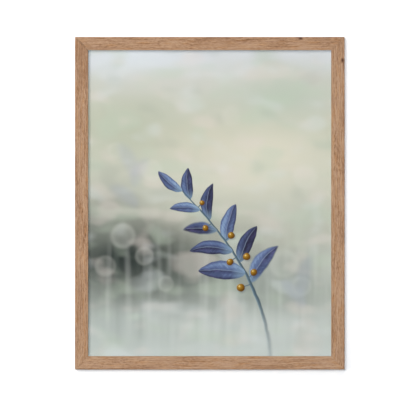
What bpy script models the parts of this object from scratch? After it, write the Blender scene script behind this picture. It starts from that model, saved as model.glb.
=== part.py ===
"""An oak picture frame with its glazing, print, backing board and wall hanger.

Run with: blender --background --python part.py
The front faces -Y, the wall is at +Y and +Z is up. The origin is where a hook
carries the frame: in the hanger's middle notch, half way through its strip.
"""
import math

import bmesh
import bpy
from mathutils import Matrix, Vector

# Driving dimensions: the sheets, in metres
PRINT_WIDTH = 0.400
PRINT_HEIGHT = 0.500
PRINT_THICKNESS = 0.0003
GLAZING_THICKNESS = 0.002
BOARD_THICKNESS = 0.003

# Driving dimensions: the moulding
FACE_WIDTH = 0.021
FRAME_DEPTH = 0.022
LIP_OVERLAP = 0.007
LIP_THICKNESS = 0.005
RABBET_CLEARANCE = 0.001
FACE_EDGE_RADIUS = 0.001
BACK_EDGE_RADIUS = 0.0006
EDGE_STEPS = 3

# Gaps between neighbouring pieces, and across each glued mitre
CONTACT_GAP = 0.0003
MITRE_GAP = 0.0003

# Small rounding of the sheets
SHEET_CORNER_RADIUS = 0.0006
SHEET_EDGE_BEVEL = 0.0002
PRINT_EDGE_BEVEL = 0.00005
SHEET_BEVEL_ANGLE = math.radians(60)

# The sawtooth hanger on the top rail
HANGER_LENGTH = 0.045
HANGER_THICKNESS = 0.001
HANGER_BELOW_NOTCH = 0.0015
HANGER_ABOVE_NOTCH = 0.0075
HANGER_CORNER_RADIUS = 0.0025
HANGER_RAISED_HALF = 0.0126
HANGER_FOOT_START = 0.0156
HOOK_GAP = 0.002
TOOTH_PITCH = 0.0024
TOOTH_COUNT = 9
NOTCH_FLAT = 0.0005
NOTCH_BELOW_TOP = 0.010

# The two nails that hold the hanger
NAIL_SPREAD = 0.019
NAIL_HEIGHT = 0.003
NAIL_RADIUS = 0.0007
NAIL_HEAD_RADIUS = 0.0019
NAIL_HEAD_THICKNESS = 0.0007
NAIL_HEAD_DOME = 0.0003
NAIL_HEAD_FLAT_RADIUS = 0.0011
NAIL_LENGTH = 0.011
NAIL_POINT = 0.002
NAIL_SIDES = 16

# The flexible points that hold the board
POINT_WIDTH = 0.006
POINT_THICKNESS = 0.0004
POINT_BURIED = 0.007
POINT_REACH = 0.009
POINT_TIP = 0.0025
POINT_CORNER_RADIUS = 0.0012
SIDE_POINT_PLACES = (-0.36, 0.0, 0.36)
END_POINT_PLACES = (-0.27, 0.27)

# The V-nails across the back of each mitre
V_NAIL_SPAN = 0.007
V_NAIL_RISE = 0.0016
V_NAIL_THICKNESS = 0.0005
V_NAIL_DEPTH = 0.007
V_NAIL_SUNK = 0.0002
V_NAIL_PLACES = (0.0062, 0.0122)

# The rubber bumpers at the bottom of the back
BUMPER_RADIUS = 0.005
BUMPER_ROUNDING = 0.0008
BUMPER_ARC_STEPS = 3
BUMPER_FROM_CORNER = 0.030
BUMPER_SIDES = 32

# Sizes that follow from the ones above
SIGHT_WIDTH = PRINT_WIDTH - 2 * LIP_OVERLAP
SIGHT_HEIGHT = PRINT_HEIGHT - 2 * LIP_OVERLAP
FRAME_WIDTH = SIGHT_WIDTH + 2 * FACE_WIDTH
FRAME_HEIGHT = SIGHT_HEIGHT + 2 * FACE_WIDTH
WALL_THICKNESS = FACE_WIDTH - LIP_OVERLAP - RABBET_CLEARANCE

# Places along Y, from the wall forwards
WALL_Y = HANGER_THICKNESS / 2
BACK_Y = -HANGER_THICKNESS / 2 - HOOK_GAP
FRONT_Y = BACK_Y - FRAME_DEPTH
LIP_BACK_Y = FRONT_Y + LIP_THICKNESS
GLAZING_Y = LIP_BACK_Y + CONTACT_GAP
PRINT_Y = GLAZING_Y + GLAZING_THICKNESS + CONTACT_GAP
BOARD_Y = PRINT_Y + PRINT_THICKNESS + CONTACT_GAP
POINT_Y = BOARD_Y + BOARD_THICKNESS + CONTACT_GAP
FOOT_OFFSET = BACK_Y + CONTACT_GAP + HANGER_THICKNESS / 2
NAIL_SEAT_Y = FOOT_OFFSET + HANGER_THICKNESS / 2 + CONTACT_GAP
V_NAIL_DEEP_Y = BACK_Y - V_NAIL_SUNK - V_NAIL_DEPTH

# The frame's centre, below the notch
CENTRE_Z = NOTCH_BELOW_TOP - FRAME_HEIGHT / 2

SMOOTH_ANGLE = math.radians(40)


def clear_scene():
    for item in list(bpy.data.objects):
        bpy.data.objects.remove(item, do_unlink=True)


def principled(name, colour, roughness, metallic=0.0, transmission=0.0):
    material = bpy.data.materials.new(name)
    material.use_nodes = True
    shader = material.node_tree.nodes["Principled BSDF"]
    shader.inputs["Base Color"].default_value = (*colour, 1.0)
    shader.inputs["Roughness"].default_value = roughness
    shader.inputs["Metallic"].default_value = metallic
    shader.inputs["Transmission Weight"].default_value = transmission
    return material


def add_piece(name, shape, material, parent, smooth=False):
    """Make a bmesh into a named object under its parent, with its faces pointing out."""
    bmesh.ops.recalc_face_normals(shape, faces=shape.faces)
    mesh = bpy.data.meshes.new(name)
    shape.to_mesh(mesh)
    shape.free()
    if smooth:
        mesh.shade_smooth()
        mesh.set_sharp_from_angle(angle=SMOOTH_ANGLE)
    piece = bpy.data.objects.new(name, mesh)
    bpy.context.collection.objects.link(piece)
    piece.parent = parent
    if material:
        mesh.materials.append(material)
    return piece


def add_anchor(name, location, turn=0.0, parent=None):
    """An empty that carries pieces, turned about Y."""
    anchor = bpy.data.objects.new(name, None)
    bpy.context.collection.objects.link(anchor)
    anchor.location = location
    anchor.rotation_euler = (0.0, turn, 0.0)
    anchor.parent = parent
    return anchor


def rounded_outline(corners):
    """Points of a closed outline whose corners, each (a, b, radius), turn in arcs."""
    outline = []
    count = len(corners)
    for index, (a, b, radius) in enumerate(corners):
        corner = Vector((a, b))
        if radius == 0.0:
            outline.append(corner)
            continue
        before = (Vector(corners[index - 1][:2]) - corner).normalized()
        after = (Vector(corners[(index + 1) % count][:2]) - corner).normalized()
        half_angle = before.angle(after) / 2
        middle = (before + after).normalized()
        centre = corner + middle * radius / math.sin(half_angle)
        start = corner + before * radius / math.tan(half_angle) - centre
        end = corner + after * radius / math.tan(half_angle) - centre
        sweep = start.angle_signed(end)
        for step in range(EDGE_STEPS + 1):
            turn = Matrix.Rotation(-sweep * step / EDGE_STEPS, 2)
            outline.append(centre + turn @ start)
    return outline


def ribbon_outline(path, half_width, end_growth):
    """Outline of a flat ribbon of even width along an open path of 2-D points."""
    path = [Vector(point) for point in path]
    first = (path[1] - path[0]).normalized()
    last = (path[-1] - path[-2]).normalized()
    path[0] = path[0] - first * end_growth
    path[-1] = path[-1] + last * end_growth
    left = []
    right = []
    for index, point in enumerate(path):
        incoming = (point - path[index - 1]).normalized() if index else first
        outgoing = (path[index + 1] - point).normalized() if index + 1 < len(path) else last
        tangent = (incoming + outgoing).normalized()
        normal = Vector((-tangent.y, tangent.x))
        reach = half_width / normal.dot(Vector((-outgoing.y, outgoing.x)))
        left.append(point + normal * reach)
        right.append(point - normal * reach)
    return left + right[::-1]


def add_prism(shape, outline, near_y, far_y, place=None):
    """Add the solid that an XZ outline sweeps from near_y to far_y."""
    verts = [shape.verts.new((point.x, near_y, point.y)) for point in outline]
    face = shape.faces.new(verts)
    swept = bmesh.ops.extrude_face_region(shape, geom=[face])["geom"]
    moved = [item for item in swept if isinstance(item, bmesh.types.BMVert)]
    bmesh.ops.translate(shape, verts=moved, vec=(0.0, far_y - near_y, 0.0))
    if place:
        bmesh.ops.transform(shape, matrix=place, verts=verts + moved)


def add_turned(shape, profile, sides, place=None):
    """Add the solid that a profile of (radius, y) makes round the Y axis."""
    verts = [shape.verts.new((radius, y, 0.0)) for radius, y in profile]
    edges = [shape.edges.new(pair) for pair in zip(verts, verts[1:])]
    before = set(shape.verts) - set(verts)
    bmesh.ops.spin(
        shape, geom=verts + edges, axis=(0.0, 1.0, 0.0), cent=(0.0, 0.0, 0.0),
        angle=2 * math.pi, steps=sides, use_merge=True,
    )
    turned = [vert for vert in shape.verts if vert not in before]
    bmesh.ops.remove_doubles(shape, verts=turned, dist=1e-7)
    if place:
        turned = [vert for vert in shape.verts if vert not in before]
        bmesh.ops.transform(shape, matrix=place, verts=turned)


def cut(piece, cutter_shape, parent):
    """Cut a bmesh out of a piece, with the cutter kept as a wire guide."""
    cutter = add_piece(piece.name + "_cutter", cutter_shape, None, parent)
    cutter.hide_render = True
    cutter.display_type = "WIRE"
    boolean = piece.modifiers.new("cuts", "BOOLEAN")
    boolean.operation = "DIFFERENCE"
    boolean.solver = "EXACT"
    boolean.object = cutter


def point_outline(growth):
    """A flexible point seen from behind: its tip goes up into the wood, its tail lies on the board."""
    half = POINT_WIDTH / 2 + growth
    tail = -POINT_REACH - growth
    shoulder = POINT_BURIED - POINT_TIP
    return rounded_outline([
        (-half, tail, POINT_CORNER_RADIUS),
        (half, tail, POINT_CORNER_RADIUS),
        (half, shoulder, 0.0),
        (0.0, POINT_BURIED + growth, 0.0),
        (-half, shoulder, 0.0),
    ])


def v_nail_outline(growth):
    """A V-nail's section: its two arms cross the mitre, with the bend on it."""
    half = V_NAIL_SPAN / 2
    path = [(-half, -V_NAIL_RISE / 2), (0.0, V_NAIL_RISE / 2), (half, -V_NAIL_RISE / 2)]
    return ribbon_outline(path, V_NAIL_THICKNESS / 2 + growth, growth)


def nail_profile(growth):
    """The buried part of a hanger nail, from under its head to its tip."""
    tip_y = NAIL_SEAT_Y - NAIL_LENGTH
    return [
        (NAIL_RADIUS + growth, NAIL_SEAT_Y),
        (NAIL_RADIUS + growth, tip_y + NAIL_POINT),
        (0.0, tip_y - growth),
    ]


def nail_places():
    return [Matrix.Translation((side * NAIL_SPREAD, 0.0, NAIL_HEIGHT)) for side in (-1, 1)]


def rail_profile():
    """The moulding's section: distance in from the outer edge, and Y."""
    return rounded_outline([
        (0.0, FRONT_Y, FACE_EDGE_RADIUS),
        (FACE_WIDTH, FRONT_Y, FACE_EDGE_RADIUS),
        (FACE_WIDTH, LIP_BACK_Y, 0.0),
        (WALL_THICKNESS, LIP_BACK_Y, 0.0),
        (WALL_THICKNESS, BACK_Y, 0.0),
        (0.0, BACK_Y, BACK_EDGE_RADIUS),
    ])


def rail_shape(half_length, half_reach):
    """One rail lying along X at the top of the frame, both its ends mitred."""
    shape = bmesh.new()
    setback = MITRE_GAP / 2 * math.sqrt(2)
    ends = []
    for side in (-1, 1):
        ends.append([
            shape.verts.new((side * (half_length - inset - setback), y, half_reach - inset))
            for inset, y in rail_profile()
        ])
    edges = []
    for ring in ends:
        shape.faces.new(ring)
        edges.extend(shape.edges.get(pair) for pair in zip(ring, ring[1:] + ring[:1]))
    bmesh.ops.bridge_loops(shape, edges=edges)
    return shape


def corner_place(half_length, half_reach, side, distance):
    """Where a V-nail sits, distance in from a rail's outer corner along the mitre."""
    inward = distance / math.sqrt(2)
    location = Vector((side * (half_length - inward), 0.0, half_reach - inward))
    return Matrix.Translation(location) @ Matrix.Rotation(side * math.pi / 4, 4, "Y")


def rail_cuts(half_length, half_reach, point_places, pilot_holes):
    """Slots for a rail's flexible points and V-nails, and pilot holes for the hanger's nails."""
    shape = bmesh.new()
    wall = half_reach - WALL_THICKNESS
    for place in point_places:
        add_prism(
            shape, point_outline(CONTACT_GAP), POINT_Y - CONTACT_GAP,
            POINT_Y + POINT_THICKNESS + CONTACT_GAP,
            Matrix.Translation((place * half_length * 2, 0.0, wall)),
        )
    for side in (-1, 1):
        for distance in V_NAIL_PLACES:
            add_prism(
                shape, v_nail_outline(CONTACT_GAP), V_NAIL_DEEP_Y - CONTACT_GAP,
                BACK_Y + CONTACT_GAP, corner_place(half_length, half_reach, side, distance),
            )
    for place in pilot_holes:
        closed_profile = [(0.0, NAIL_SEAT_Y)] + nail_profile(CONTACT_GAP)
        add_turned(shape, closed_profile, NAIL_SIDES, place)
    return shape


def add_points(side, half_length, half_reach, point_places, steel, anchor):
    wall = half_reach - WALL_THICKNESS
    for number, place in enumerate(point_places, start=1):
        shape = bmesh.new()
        add_prism(shape, point_outline(0.0), POINT_Y, POINT_Y + POINT_THICKNESS)
        point = add_piece(f"flexible_point_{side}_{number}", shape, steel, anchor)
        point.location = (place * half_length * 2, 0.0, wall)


def add_v_nails(side, half_length, half_reach, steel, anchor):
    """The V-nails across the mitre at the rail's right-hand end, seen with the rail on top."""
    for number, distance in enumerate(V_NAIL_PLACES, start=1):
        shape = bmesh.new()
        place = corner_place(half_length, half_reach, 1, distance)
        add_prism(shape, v_nail_outline(0.0), V_NAIL_DEEP_Y, BACK_Y - V_NAIL_SUNK, place)
        add_piece(f"v_nail_{side}_{number}", shape, steel, anchor)


def add_rail(side, turn, half_length, half_reach, point_places, oak, steel, parent):
    """A rail turned to its side of the frame, with the small steel pieces that sit in it."""
    anchor = add_anchor(f"{side}_anchor", (0.0, 0.0, CENTRE_Z), turn, parent)
    rail = add_piece(f"rail_{side}", rail_shape(half_length, half_reach), oak, anchor, smooth=True)
    pilot_holes = []
    if side == "top":
        pilot_holes = [Matrix.Translation((0.0, 0.0, -CENTRE_Z)) @ place for place in nail_places()]
    cut(rail, rail_cuts(half_length, half_reach, point_places, pilot_holes), anchor)
    add_points(side, half_length, half_reach, point_places, steel, anchor)
    add_v_nails(side, half_length, half_reach, steel, anchor)


def add_sheet(name, front_y, thickness, bevel_width, material, parent):
    """A flat sheet of the print's own size behind the lips."""
    half_width = PRINT_WIDTH / 2
    half_height = PRINT_HEIGHT / 2
    outline = rounded_outline([
        (-half_width, -half_height, SHEET_CORNER_RADIUS),
        (half_width, -half_height, SHEET_CORNER_RADIUS),
        (half_width, half_height, SHEET_CORNER_RADIUS),
        (-half_width, half_height, SHEET_CORNER_RADIUS),
    ])
    shape = bmesh.new()
    add_prism(shape, outline, front_y, front_y + thickness)
    sheet = add_piece(name, shape, material, parent)
    sheet.location = (0.0, 0.0, CENTRE_Z)
    bevel = sheet.modifiers.new("arris", "BEVEL")
    bevel.width = bevel_width
    bevel.segments = 1
    bevel.limit_method = "ANGLE"
    bevel.angle_limit = SHEET_BEVEL_ANGLE


def tooth_stations():
    """The hanger's lower edge over its teeth, as (x, z): notches seat the hook at z = 0."""
    stations = []
    for index in range(TOOTH_COUNT):
        notch = (index - (TOOTH_COUNT - 1) / 2) * TOOTH_PITCH
        stations.append((notch - TOOTH_PITCH / 2, -HANGER_BELOW_NOTCH))
        stations.append((notch - NOTCH_FLAT / 2, 0.0))
        stations.append((notch + NOTCH_FLAT / 2, 0.0))
    stations.append((TOOTH_COUNT * TOOTH_PITCH / 2, -HANGER_BELOW_NOTCH))
    return stations


def hanger_stations():
    """Every (x, low z, high z) along the strip, from its left end to its right."""
    bends = [HANGER_RAISED_HALF, HANGER_FOOT_START]
    arc_start = HANGER_LENGTH / 2 - HANGER_CORNER_RADIUS
    right = [(x, 0.0) for x in bends]
    for step in range(EDGE_STEPS + 1):
        angle = math.pi / 2 * step / EDGE_STEPS
        x = arc_start + HANGER_CORNER_RADIUS * math.sin(angle)
        right.append((x, HANGER_CORNER_RADIUS * (1 - math.cos(angle))))
    plain = [(x, -HANGER_BELOW_NOTCH + inset, HANGER_ABOVE_NOTCH - inset) for x, inset in right]
    mirrored = [(-x, low, high) for x, low, high in reversed(plain)]
    toothed = [(x, low, HANGER_ABOVE_NOTCH) for x, low in tooth_stations()]
    return mirrored + toothed + plain


def hanger_offset(x):
    """How far the strip bends back from its raised middle towards the wood."""
    share = (abs(x) - HANGER_RAISED_HALF) / (HANGER_FOOT_START - HANGER_RAISED_HALF)
    return FOOT_OFFSET * min(1.0, max(0.0, share))


def add_hanger(material, parent):
    shape = bmesh.new()
    half = HANGER_THICKNESS / 2
    rings = []
    for x, low, high in hanger_stations():
        middle = hanger_offset(x)
        corners = [(middle - half, low), (middle + half, low), (middle + half, high), (middle - half, high)]
        rings.append([shape.verts.new((x, y, z)) for y, z in corners])
    for ring, following in zip(rings, rings[1:]):
        for index in range(4):
            after = (index + 1) % 4
            shape.faces.new((ring[index], ring[after], following[after], following[index]))
    shape.faces.new(rings[0])
    shape.faces.new(rings[-1])
    hanger = add_piece("hanger", shape, material, parent)
    holes = bmesh.new()
    radius = NAIL_RADIUS + CONTACT_GAP
    near = FOOT_OFFSET - HANGER_THICKNESS
    far = FOOT_OFFSET + HANGER_THICKNESS
    for place in nail_places():
        add_turned(holes, [(0.0, near), (radius, near), (radius, far), (0.0, far)], NAIL_SIDES, place)
    cut(hanger, holes, parent)


def add_nails(material, parent):
    head_top = NAIL_SEAT_Y + NAIL_HEAD_THICKNESS
    head = [
        (0.0, head_top),
        (NAIL_HEAD_FLAT_RADIUS, head_top),
        (NAIL_HEAD_RADIUS, head_top - NAIL_HEAD_DOME),
        (NAIL_HEAD_RADIUS, NAIL_SEAT_Y),
    ]
    for name, place in zip(("left", "right"), nail_places()):
        shape = bmesh.new()
        add_turned(shape, head + nail_profile(0.0), NAIL_SIDES)
        nail = add_piece(f"hanger_nail_{name}", shape, material, parent, smooth=True)
        nail.location = place.translation


def add_bumpers(material, parent):
    """Round rubber feet on the bottom rail, flat against the wall."""
    base_y = BACK_Y + CONTACT_GAP
    profile = [(0.0, base_y), (BUMPER_RADIUS, base_y)]
    for step in range(BUMPER_ARC_STEPS + 1):
        angle = math.pi / 2 * step / BUMPER_ARC_STEPS
        radius = BUMPER_RADIUS - BUMPER_ROUNDING * (1 - math.cos(angle))
        profile.append((radius, WALL_Y - BUMPER_ROUNDING * (1 - math.sin(angle))))
    profile.append((0.0, WALL_Y))
    height = CENTRE_Z - FRAME_HEIGHT / 2 + WALL_THICKNESS / 2
    for name, side in (("left", -1), ("right", 1)):
        shape = bmesh.new()
        add_turned(shape, profile, BUMPER_SIDES)
        bumper = add_piece(f"bumper_{name}", shape, material, parent, smooth=True)
        bumper.location = (side * (FRAME_WIDTH / 2 - BUMPER_FROM_CORNER), 0.0, height)


def build():
    clear_scene()
    oak = principled("oak", (0.43, 0.26, 0.155), 0.55)
    glass = principled("clear_glass", (0.93, 0.97, 0.95), 0.02, transmission=1.0)
    paper = principled("photo_paper", (0.53, 0.56, 0.49), 0.45)
    fibreboard = principled("fibreboard", (0.33, 0.21, 0.12), 0.8)
    steel = principled("spring_steel", (0.45, 0.45, 0.44), 0.35, metallic=1.0)
    zinc = principled("zinc_plated_steel", (0.62, 0.62, 0.60), 0.3, metallic=1.0)
    rubber = principled("grey_rubber", (0.35, 0.35, 0.34), 0.5)

    frame = add_anchor("frame", (0.0, 0.0, 0.0))
    across = FRAME_WIDTH / 2
    up = FRAME_HEIGHT / 2
    rails = (
        ("top", 0.0, across, up, END_POINT_PLACES),
        ("right", math.pi / 2, up, across, SIDE_POINT_PLACES),
        ("bottom", math.pi, across, up, END_POINT_PLACES),
        ("left", -math.pi / 2, up, across, SIDE_POINT_PLACES),
    )
    for side, turn, half_length, half_reach, point_places in rails:
        add_rail(side, turn, half_length, half_reach, point_places, oak, steel, frame)
    add_sheet("glazing", GLAZING_Y, GLAZING_THICKNESS, SHEET_EDGE_BEVEL, glass, frame)
    add_sheet("print", PRINT_Y, PRINT_THICKNESS, PRINT_EDGE_BEVEL, paper, frame)
    add_sheet("backing_board", BOARD_Y, BOARD_THICKNESS, SHEET_EDGE_BEVEL, fibreboard, frame)
    add_hanger(zinc, frame)
    add_nails(zinc, frame)
    add_bumpers(rubber, frame)


build()
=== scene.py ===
"""Looks of a wall-hung framed print: oak rails, glazing, a printed leafy sprig, board and hanger."""

import math
from functools import reduce

import bmesh
import bpy
from mathutils import Matrix, Vector, noise


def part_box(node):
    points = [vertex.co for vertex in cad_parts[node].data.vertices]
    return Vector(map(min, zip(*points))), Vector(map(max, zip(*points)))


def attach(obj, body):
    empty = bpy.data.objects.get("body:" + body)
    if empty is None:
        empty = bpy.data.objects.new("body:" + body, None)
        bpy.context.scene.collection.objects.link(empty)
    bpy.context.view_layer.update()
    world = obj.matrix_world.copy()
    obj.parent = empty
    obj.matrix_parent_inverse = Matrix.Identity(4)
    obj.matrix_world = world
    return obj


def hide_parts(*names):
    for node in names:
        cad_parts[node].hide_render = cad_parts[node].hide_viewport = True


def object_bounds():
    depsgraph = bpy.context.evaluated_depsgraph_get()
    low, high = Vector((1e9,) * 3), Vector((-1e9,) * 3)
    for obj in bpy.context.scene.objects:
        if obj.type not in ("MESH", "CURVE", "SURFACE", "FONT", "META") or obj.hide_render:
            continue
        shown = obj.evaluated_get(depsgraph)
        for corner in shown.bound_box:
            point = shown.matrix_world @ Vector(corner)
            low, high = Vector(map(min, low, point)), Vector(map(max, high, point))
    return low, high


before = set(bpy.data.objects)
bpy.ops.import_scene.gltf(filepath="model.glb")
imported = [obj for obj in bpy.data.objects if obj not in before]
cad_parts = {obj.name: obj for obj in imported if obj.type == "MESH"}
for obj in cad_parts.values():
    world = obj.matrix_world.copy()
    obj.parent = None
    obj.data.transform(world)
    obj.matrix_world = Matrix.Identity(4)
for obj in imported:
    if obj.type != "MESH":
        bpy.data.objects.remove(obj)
cad_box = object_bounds()

MM = 0.001

# The photograph's size and the frame's middle in it, in pixels, and a pixel's size in metres
IMAGE_WIDTH_PX = 416
IMAGE_HEIGHT_PX = 403
OBJECT_CENTRE_PX = (209.74, 203.2)
PIXEL = 0.001588

# The camera
LENS_MM = 300.0
SENSOR_MM = 36.0

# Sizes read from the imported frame
RAILS = ("top", "right", "bottom", "left")
RAIL_NODES = tuple(f"rail_{side}" for side in RAILS)
FRAME_LOW = Vector(map(min, *[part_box(node)[0] for node in RAIL_NODES]))
FRAME_HIGH = Vector(map(max, *[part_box(node)[1] for node in RAIL_NODES]))
FRAME_SIZE = FRAME_HIGH - FRAME_LOW
CENTRE_Z = (FRAME_LOW.z + FRAME_HIGH.z) / 2
FRONT_Y = FRAME_LOW.y
BACK_Y = FRAME_HIGH.y
WALL_Y = cad_box[1].y
FACE_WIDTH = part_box("rail_top")[1].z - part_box("rail_top")[0].z
PRINT_LOW, PRINT_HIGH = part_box("print")
GLAZING_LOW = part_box("glazing")[0]

# The moulding's section behind its face
CONTACT_GAP = 0.3 * MM
RABBET_CLEARANCE = 1.0 * MM
LIP_BACK_Y = GLAZING_LOW.y - CONTACT_GAP
WALL_THICKNESS = (FRAME_SIZE.x - (PRINT_HIGH.x - PRINT_LOW.x)) / 2 - RABBET_CLEARANCE

# How bright the lamps make a white matt surface that faces the room, with 1 the picture's white,
# and how much of each colour comes back through the glass
LIGHT_LEVEL = 1.365
GLASS_SHARE = (0.935, 0.965, 0.955)


def srgb(red, green, blue):
    """A colour of 0 to 255 steps as the linear values that shaders take."""
    def linear(step):
        share = step / 255
        return share / 12.92 if share <= 0.04045 else ((share + 0.055) / 1.055) ** 2.4
    return (linear(red), linear(green), linear(blue), 1.0)


def seen(red, green, blue):
    """The wood or paint that looks like a colour of 0 to 255 steps in this light."""
    return tuple(value / LIGHT_LEVEL for value in srgb(red, green, blue)[:3]) + (1.0,)


def ink(red, green, blue):
    """The print's colour that looks like a colour of 0 to 255 steps behind the glass."""
    bare = seen(red, green, blue)
    return tuple(value / share for value, share in zip(bare, GLASS_SHARE)) + (1.0,)


class Nodes:
    """Short calls that add nodes to one node tree and return their output sockets."""

    def __init__(self, owner):
        owner.use_nodes = True
        self.owner = owner
        self.tree = owner.node_tree

    def feed(self, node, values):
        """Set or link a node's inputs, by name or number in a dict, or else in their order."""
        for key, value in values.items() if isinstance(values, dict) else enumerate(values):
            socket = node.inputs[key]
            if isinstance(value, bpy.types.NodeSocket):
                self.tree.links.new(value, socket)
            else:
                socket.default_value = value

    def finish(self, looks):
        """Feed the material's Principled shader and return the material."""
        self.feed(self.tree.nodes["Principled BSDF"], looks)
        return self.owner

    def node(self, kind, values=(), **settings):
        """A new node with its settings made and its inputs fed."""
        node = self.tree.nodes.new("ShaderNode" + kind)
        for name, value in settings.items():
            setattr(node, name, value)
        self.feed(node, values)
        return node

    def attribute(self, name, output="Fac"):
        return self.node("Attribute", attribute_name=name).outputs[output]

    def object_mm(self):
        """The object's own coordinates, in millimetres."""
        return self.scaled(self.node("TexCoord").outputs["Object"], 1 / MM)

    def math(self, operation, *values, clamp=False):
        return self.node("Math", values, operation=operation, use_clamp=clamp).outputs[0]

    def sum(self, *values):
        return reduce(lambda a, b: self.math("ADD", a, b), values)

    def product(self, *values):
        return reduce(lambda a, b: self.math("MULTIPLY", a, b), values)

    def minus(self, a, b):
        return self.math("SUBTRACT", a, b)

    def hypot(self, a, b):
        return self.math("SQRT", self.sum(self.product(a, a), self.product(b, b)))

    def between(self, low, high, share):
        """The value at a share of the way from low to high."""
        return self.sum(low, self.product(share, high - low))

    def swing(self, value, *amounts):
        """How far noise is off its middle, times the amounts."""
        return self.product(self.minus(value, 0.5), *amounts)

    def parts(self, value, start, size):
        """How far a value is past a start, in parts of a size."""
        return self.product(self.minus(value, start), 1 / size)

    def smooth(self, value, low, high):
        """0 at low and 1 at high, with a smooth step between; low may be the larger."""
        ends = (low, high, 0.0, 1.0) if low < high else (high, low, 1.0, 0.0)
        return self.node("MapRange", (value, *ends), interpolation_type="SMOOTHSTEP").outputs[0]

    def vector(self, operation, *values):
        node = self.node("VectorMath", values, operation=operation)
        return node.outputs["Value" if operation in ("LENGTH", "DOT_PRODUCT") else "Vector"]

    def scaled(self, vector, scale):
        return self.node("VectorMath", {"Vector": vector, "Scale": scale}, operation="SCALE").outputs[0]

    def split(self, vector):
        return self.node("SeparateXYZ", (vector,)).outputs

    def join(self, x, y, z):
        return self.node("CombineXYZ", (x, y, z)).outputs[0]

    def noise(self, place, size=1.0, detail=2.0, roughness=0.5):
        """Noise of 0 to 1 with lumps of one size, or of a size along each axis; inf is endless."""
        if isinstance(size, tuple):
            place = self.vector("MULTIPLY", place, tuple(1 / length for length in size))
            size = 1.0
        values = {"Vector": place, "Scale": 1 / size, "Detail": detail, "Roughness": roughness}
        return self.node("TexNoise", values).outputs["Fac"]

    def mix(self, factor, a, b, blend="MIX"):
        return self.node("Mix", {0: factor, 6: a, 7: b}, data_type="RGBA", blend_type=blend).outputs[2]

    def mix_vectors(self, factor, a, b):
        return self.node("Mix", {0: factor, 4: a, 5: b}, data_type="VECTOR").outputs[1]

    def mix_shaders(self, factor, first, second):
        """Make a mix of two shader nodes the material's surface, and return the material."""
        mixed = self.node("MixShader", (factor, first.outputs[0], second.outputs[0])).outputs[0]
        self.feed(self.tree.nodes["Material Output"], {"Surface": mixed})
        return self.owner

    def paint(self, colour, *layers):
        """Colours laid over another, each by its share."""
        for share, over in layers:
            colour = self.mix(share, colour, over)
        return colour

    def ramp(self, value, stops, look):
        """Colours along a value of 0 to 1; each stop is a place and a colour that look turns linear."""
        node = self.node("ValToRGB", (value,))
        band = node.color_ramp
        band.interpolation = "EASE"
        while len(band.elements) < len(stops):
            band.elements.new(1.0)
        for element, (place, colour) in zip(band.elements, stops):
            element.position = place
            element.color = look(*colour)
        return node.outputs[0]

    def bump(self, height, distance, strength):
        values = {"Height": height, "Distance": distance, "Strength": strength}
        return self.node("Bump", values).outputs[0]


def new_material(name):
    """Calls that add nodes to a new material with one Principled shader."""
    return Nodes(bpy.data.materials.new(name))


# Camera, stage and light

WALL_HALF = 1.5
FLOOR_HALF = 30.0
FLOOR_Z = CENTRE_Z - WALL_HALF
FLOOR_GLOW = 0.75
MIRRORED_FLOOR_GLOW = 0.25

# A front lamp's lean to the left and up, for each metre to the front, sets the rails' shadows
LAMP_DISTANCE = 3.2
WHITE = (1.0, 1.0, 1.0)
COOL = (0.86, 1.0, 1.12)
WARM = (1.065, 1.0, 0.948)
FRONT_LAMPS = (
    # name, lean to the left, lean up, size, watts, colour
    ("front", 0.0, 0.0, 0.19, 44.6, COOL),
    ("near_corner", 0.12, 0.09, 0.25, 26.0, WARM),
    ("corner", 0.19, 0.19, 0.30, 8.5, WARM),
    ("upper_left", 0.45, 0.45, 0.60, 17.0, WARM),
    ("left", 0.45, 0.0, 0.60, 13.4, WARM),
    ("above", 0.0, 0.45, 0.60, 13.4, WARM),
    ("far_upper_left", 0.65, 0.65, 0.80, 33.0, WARM),
    ("far_left", 0.65, 0.0, 0.80, 22.3, WARM),
    ("far_above", 0.0, 0.65, 0.80, 22.3, WARM),
)

# Behind the wall, which lets their light through to the frame's back, left and top
BACK_LAMP_DISTANCE = 2.4
BACK_LAMP_SIZE = 1.2
BACK_LAMPS = (
    # name, direction, watts
    ("back_left", (-0.9, 1.3, 0.7), 46.0),
    ("back_middle", (0.0, 1.3, 0.6), 40.0),
)

# The room beyond the stage looks pale, but gives the frame only a weak fill
ROOM_FILL = 0.055
ROOM_LOOK = 0.80


def add_object(name, data):
    item = bpy.data.objects.new(name, data)
    bpy.context.collection.objects.link(item)
    return item


def add_camera():
    """A long lens straight in front, with the frame where the photograph has it."""
    distance = IMAGE_WIDTH_PX * PIXEL * LENS_MM / SENSOR_MM
    right = (OBJECT_CENTRE_PX[0] - IMAGE_WIDTH_PX / 2) * PIXEL
    down = (OBJECT_CENTRE_PX[1] - IMAGE_HEIGHT_PX / 2) * PIXEL
    data = bpy.data.cameras.new("camera")
    data.lens = LENS_MM
    data.sensor_width = SENSOR_MM
    camera = add_object("camera", data)
    camera.location = (-right, FRONT_Y - distance, CENTRE_Z + down)
    camera.rotation_euler = (math.pi / 2, 0.0, 0.0)
    bpy.context.scene.camera = camera


def wall_paint():
    """White paint on the room's side of the wall, which is clear from behind."""
    add = new_material("wall_paint")
    add.finish({"Base Color": srgb(252, 252, 252), "Roughness": 0.9, "Specular IOR Level": 0.1})
    behind = add.node("NewGeometry").outputs["Backfacing"]
    paint = add.tree.nodes["Principled BSDF"]
    return add.mix_shaders(behind, paint, add.node("BsdfTransparent"))


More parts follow.
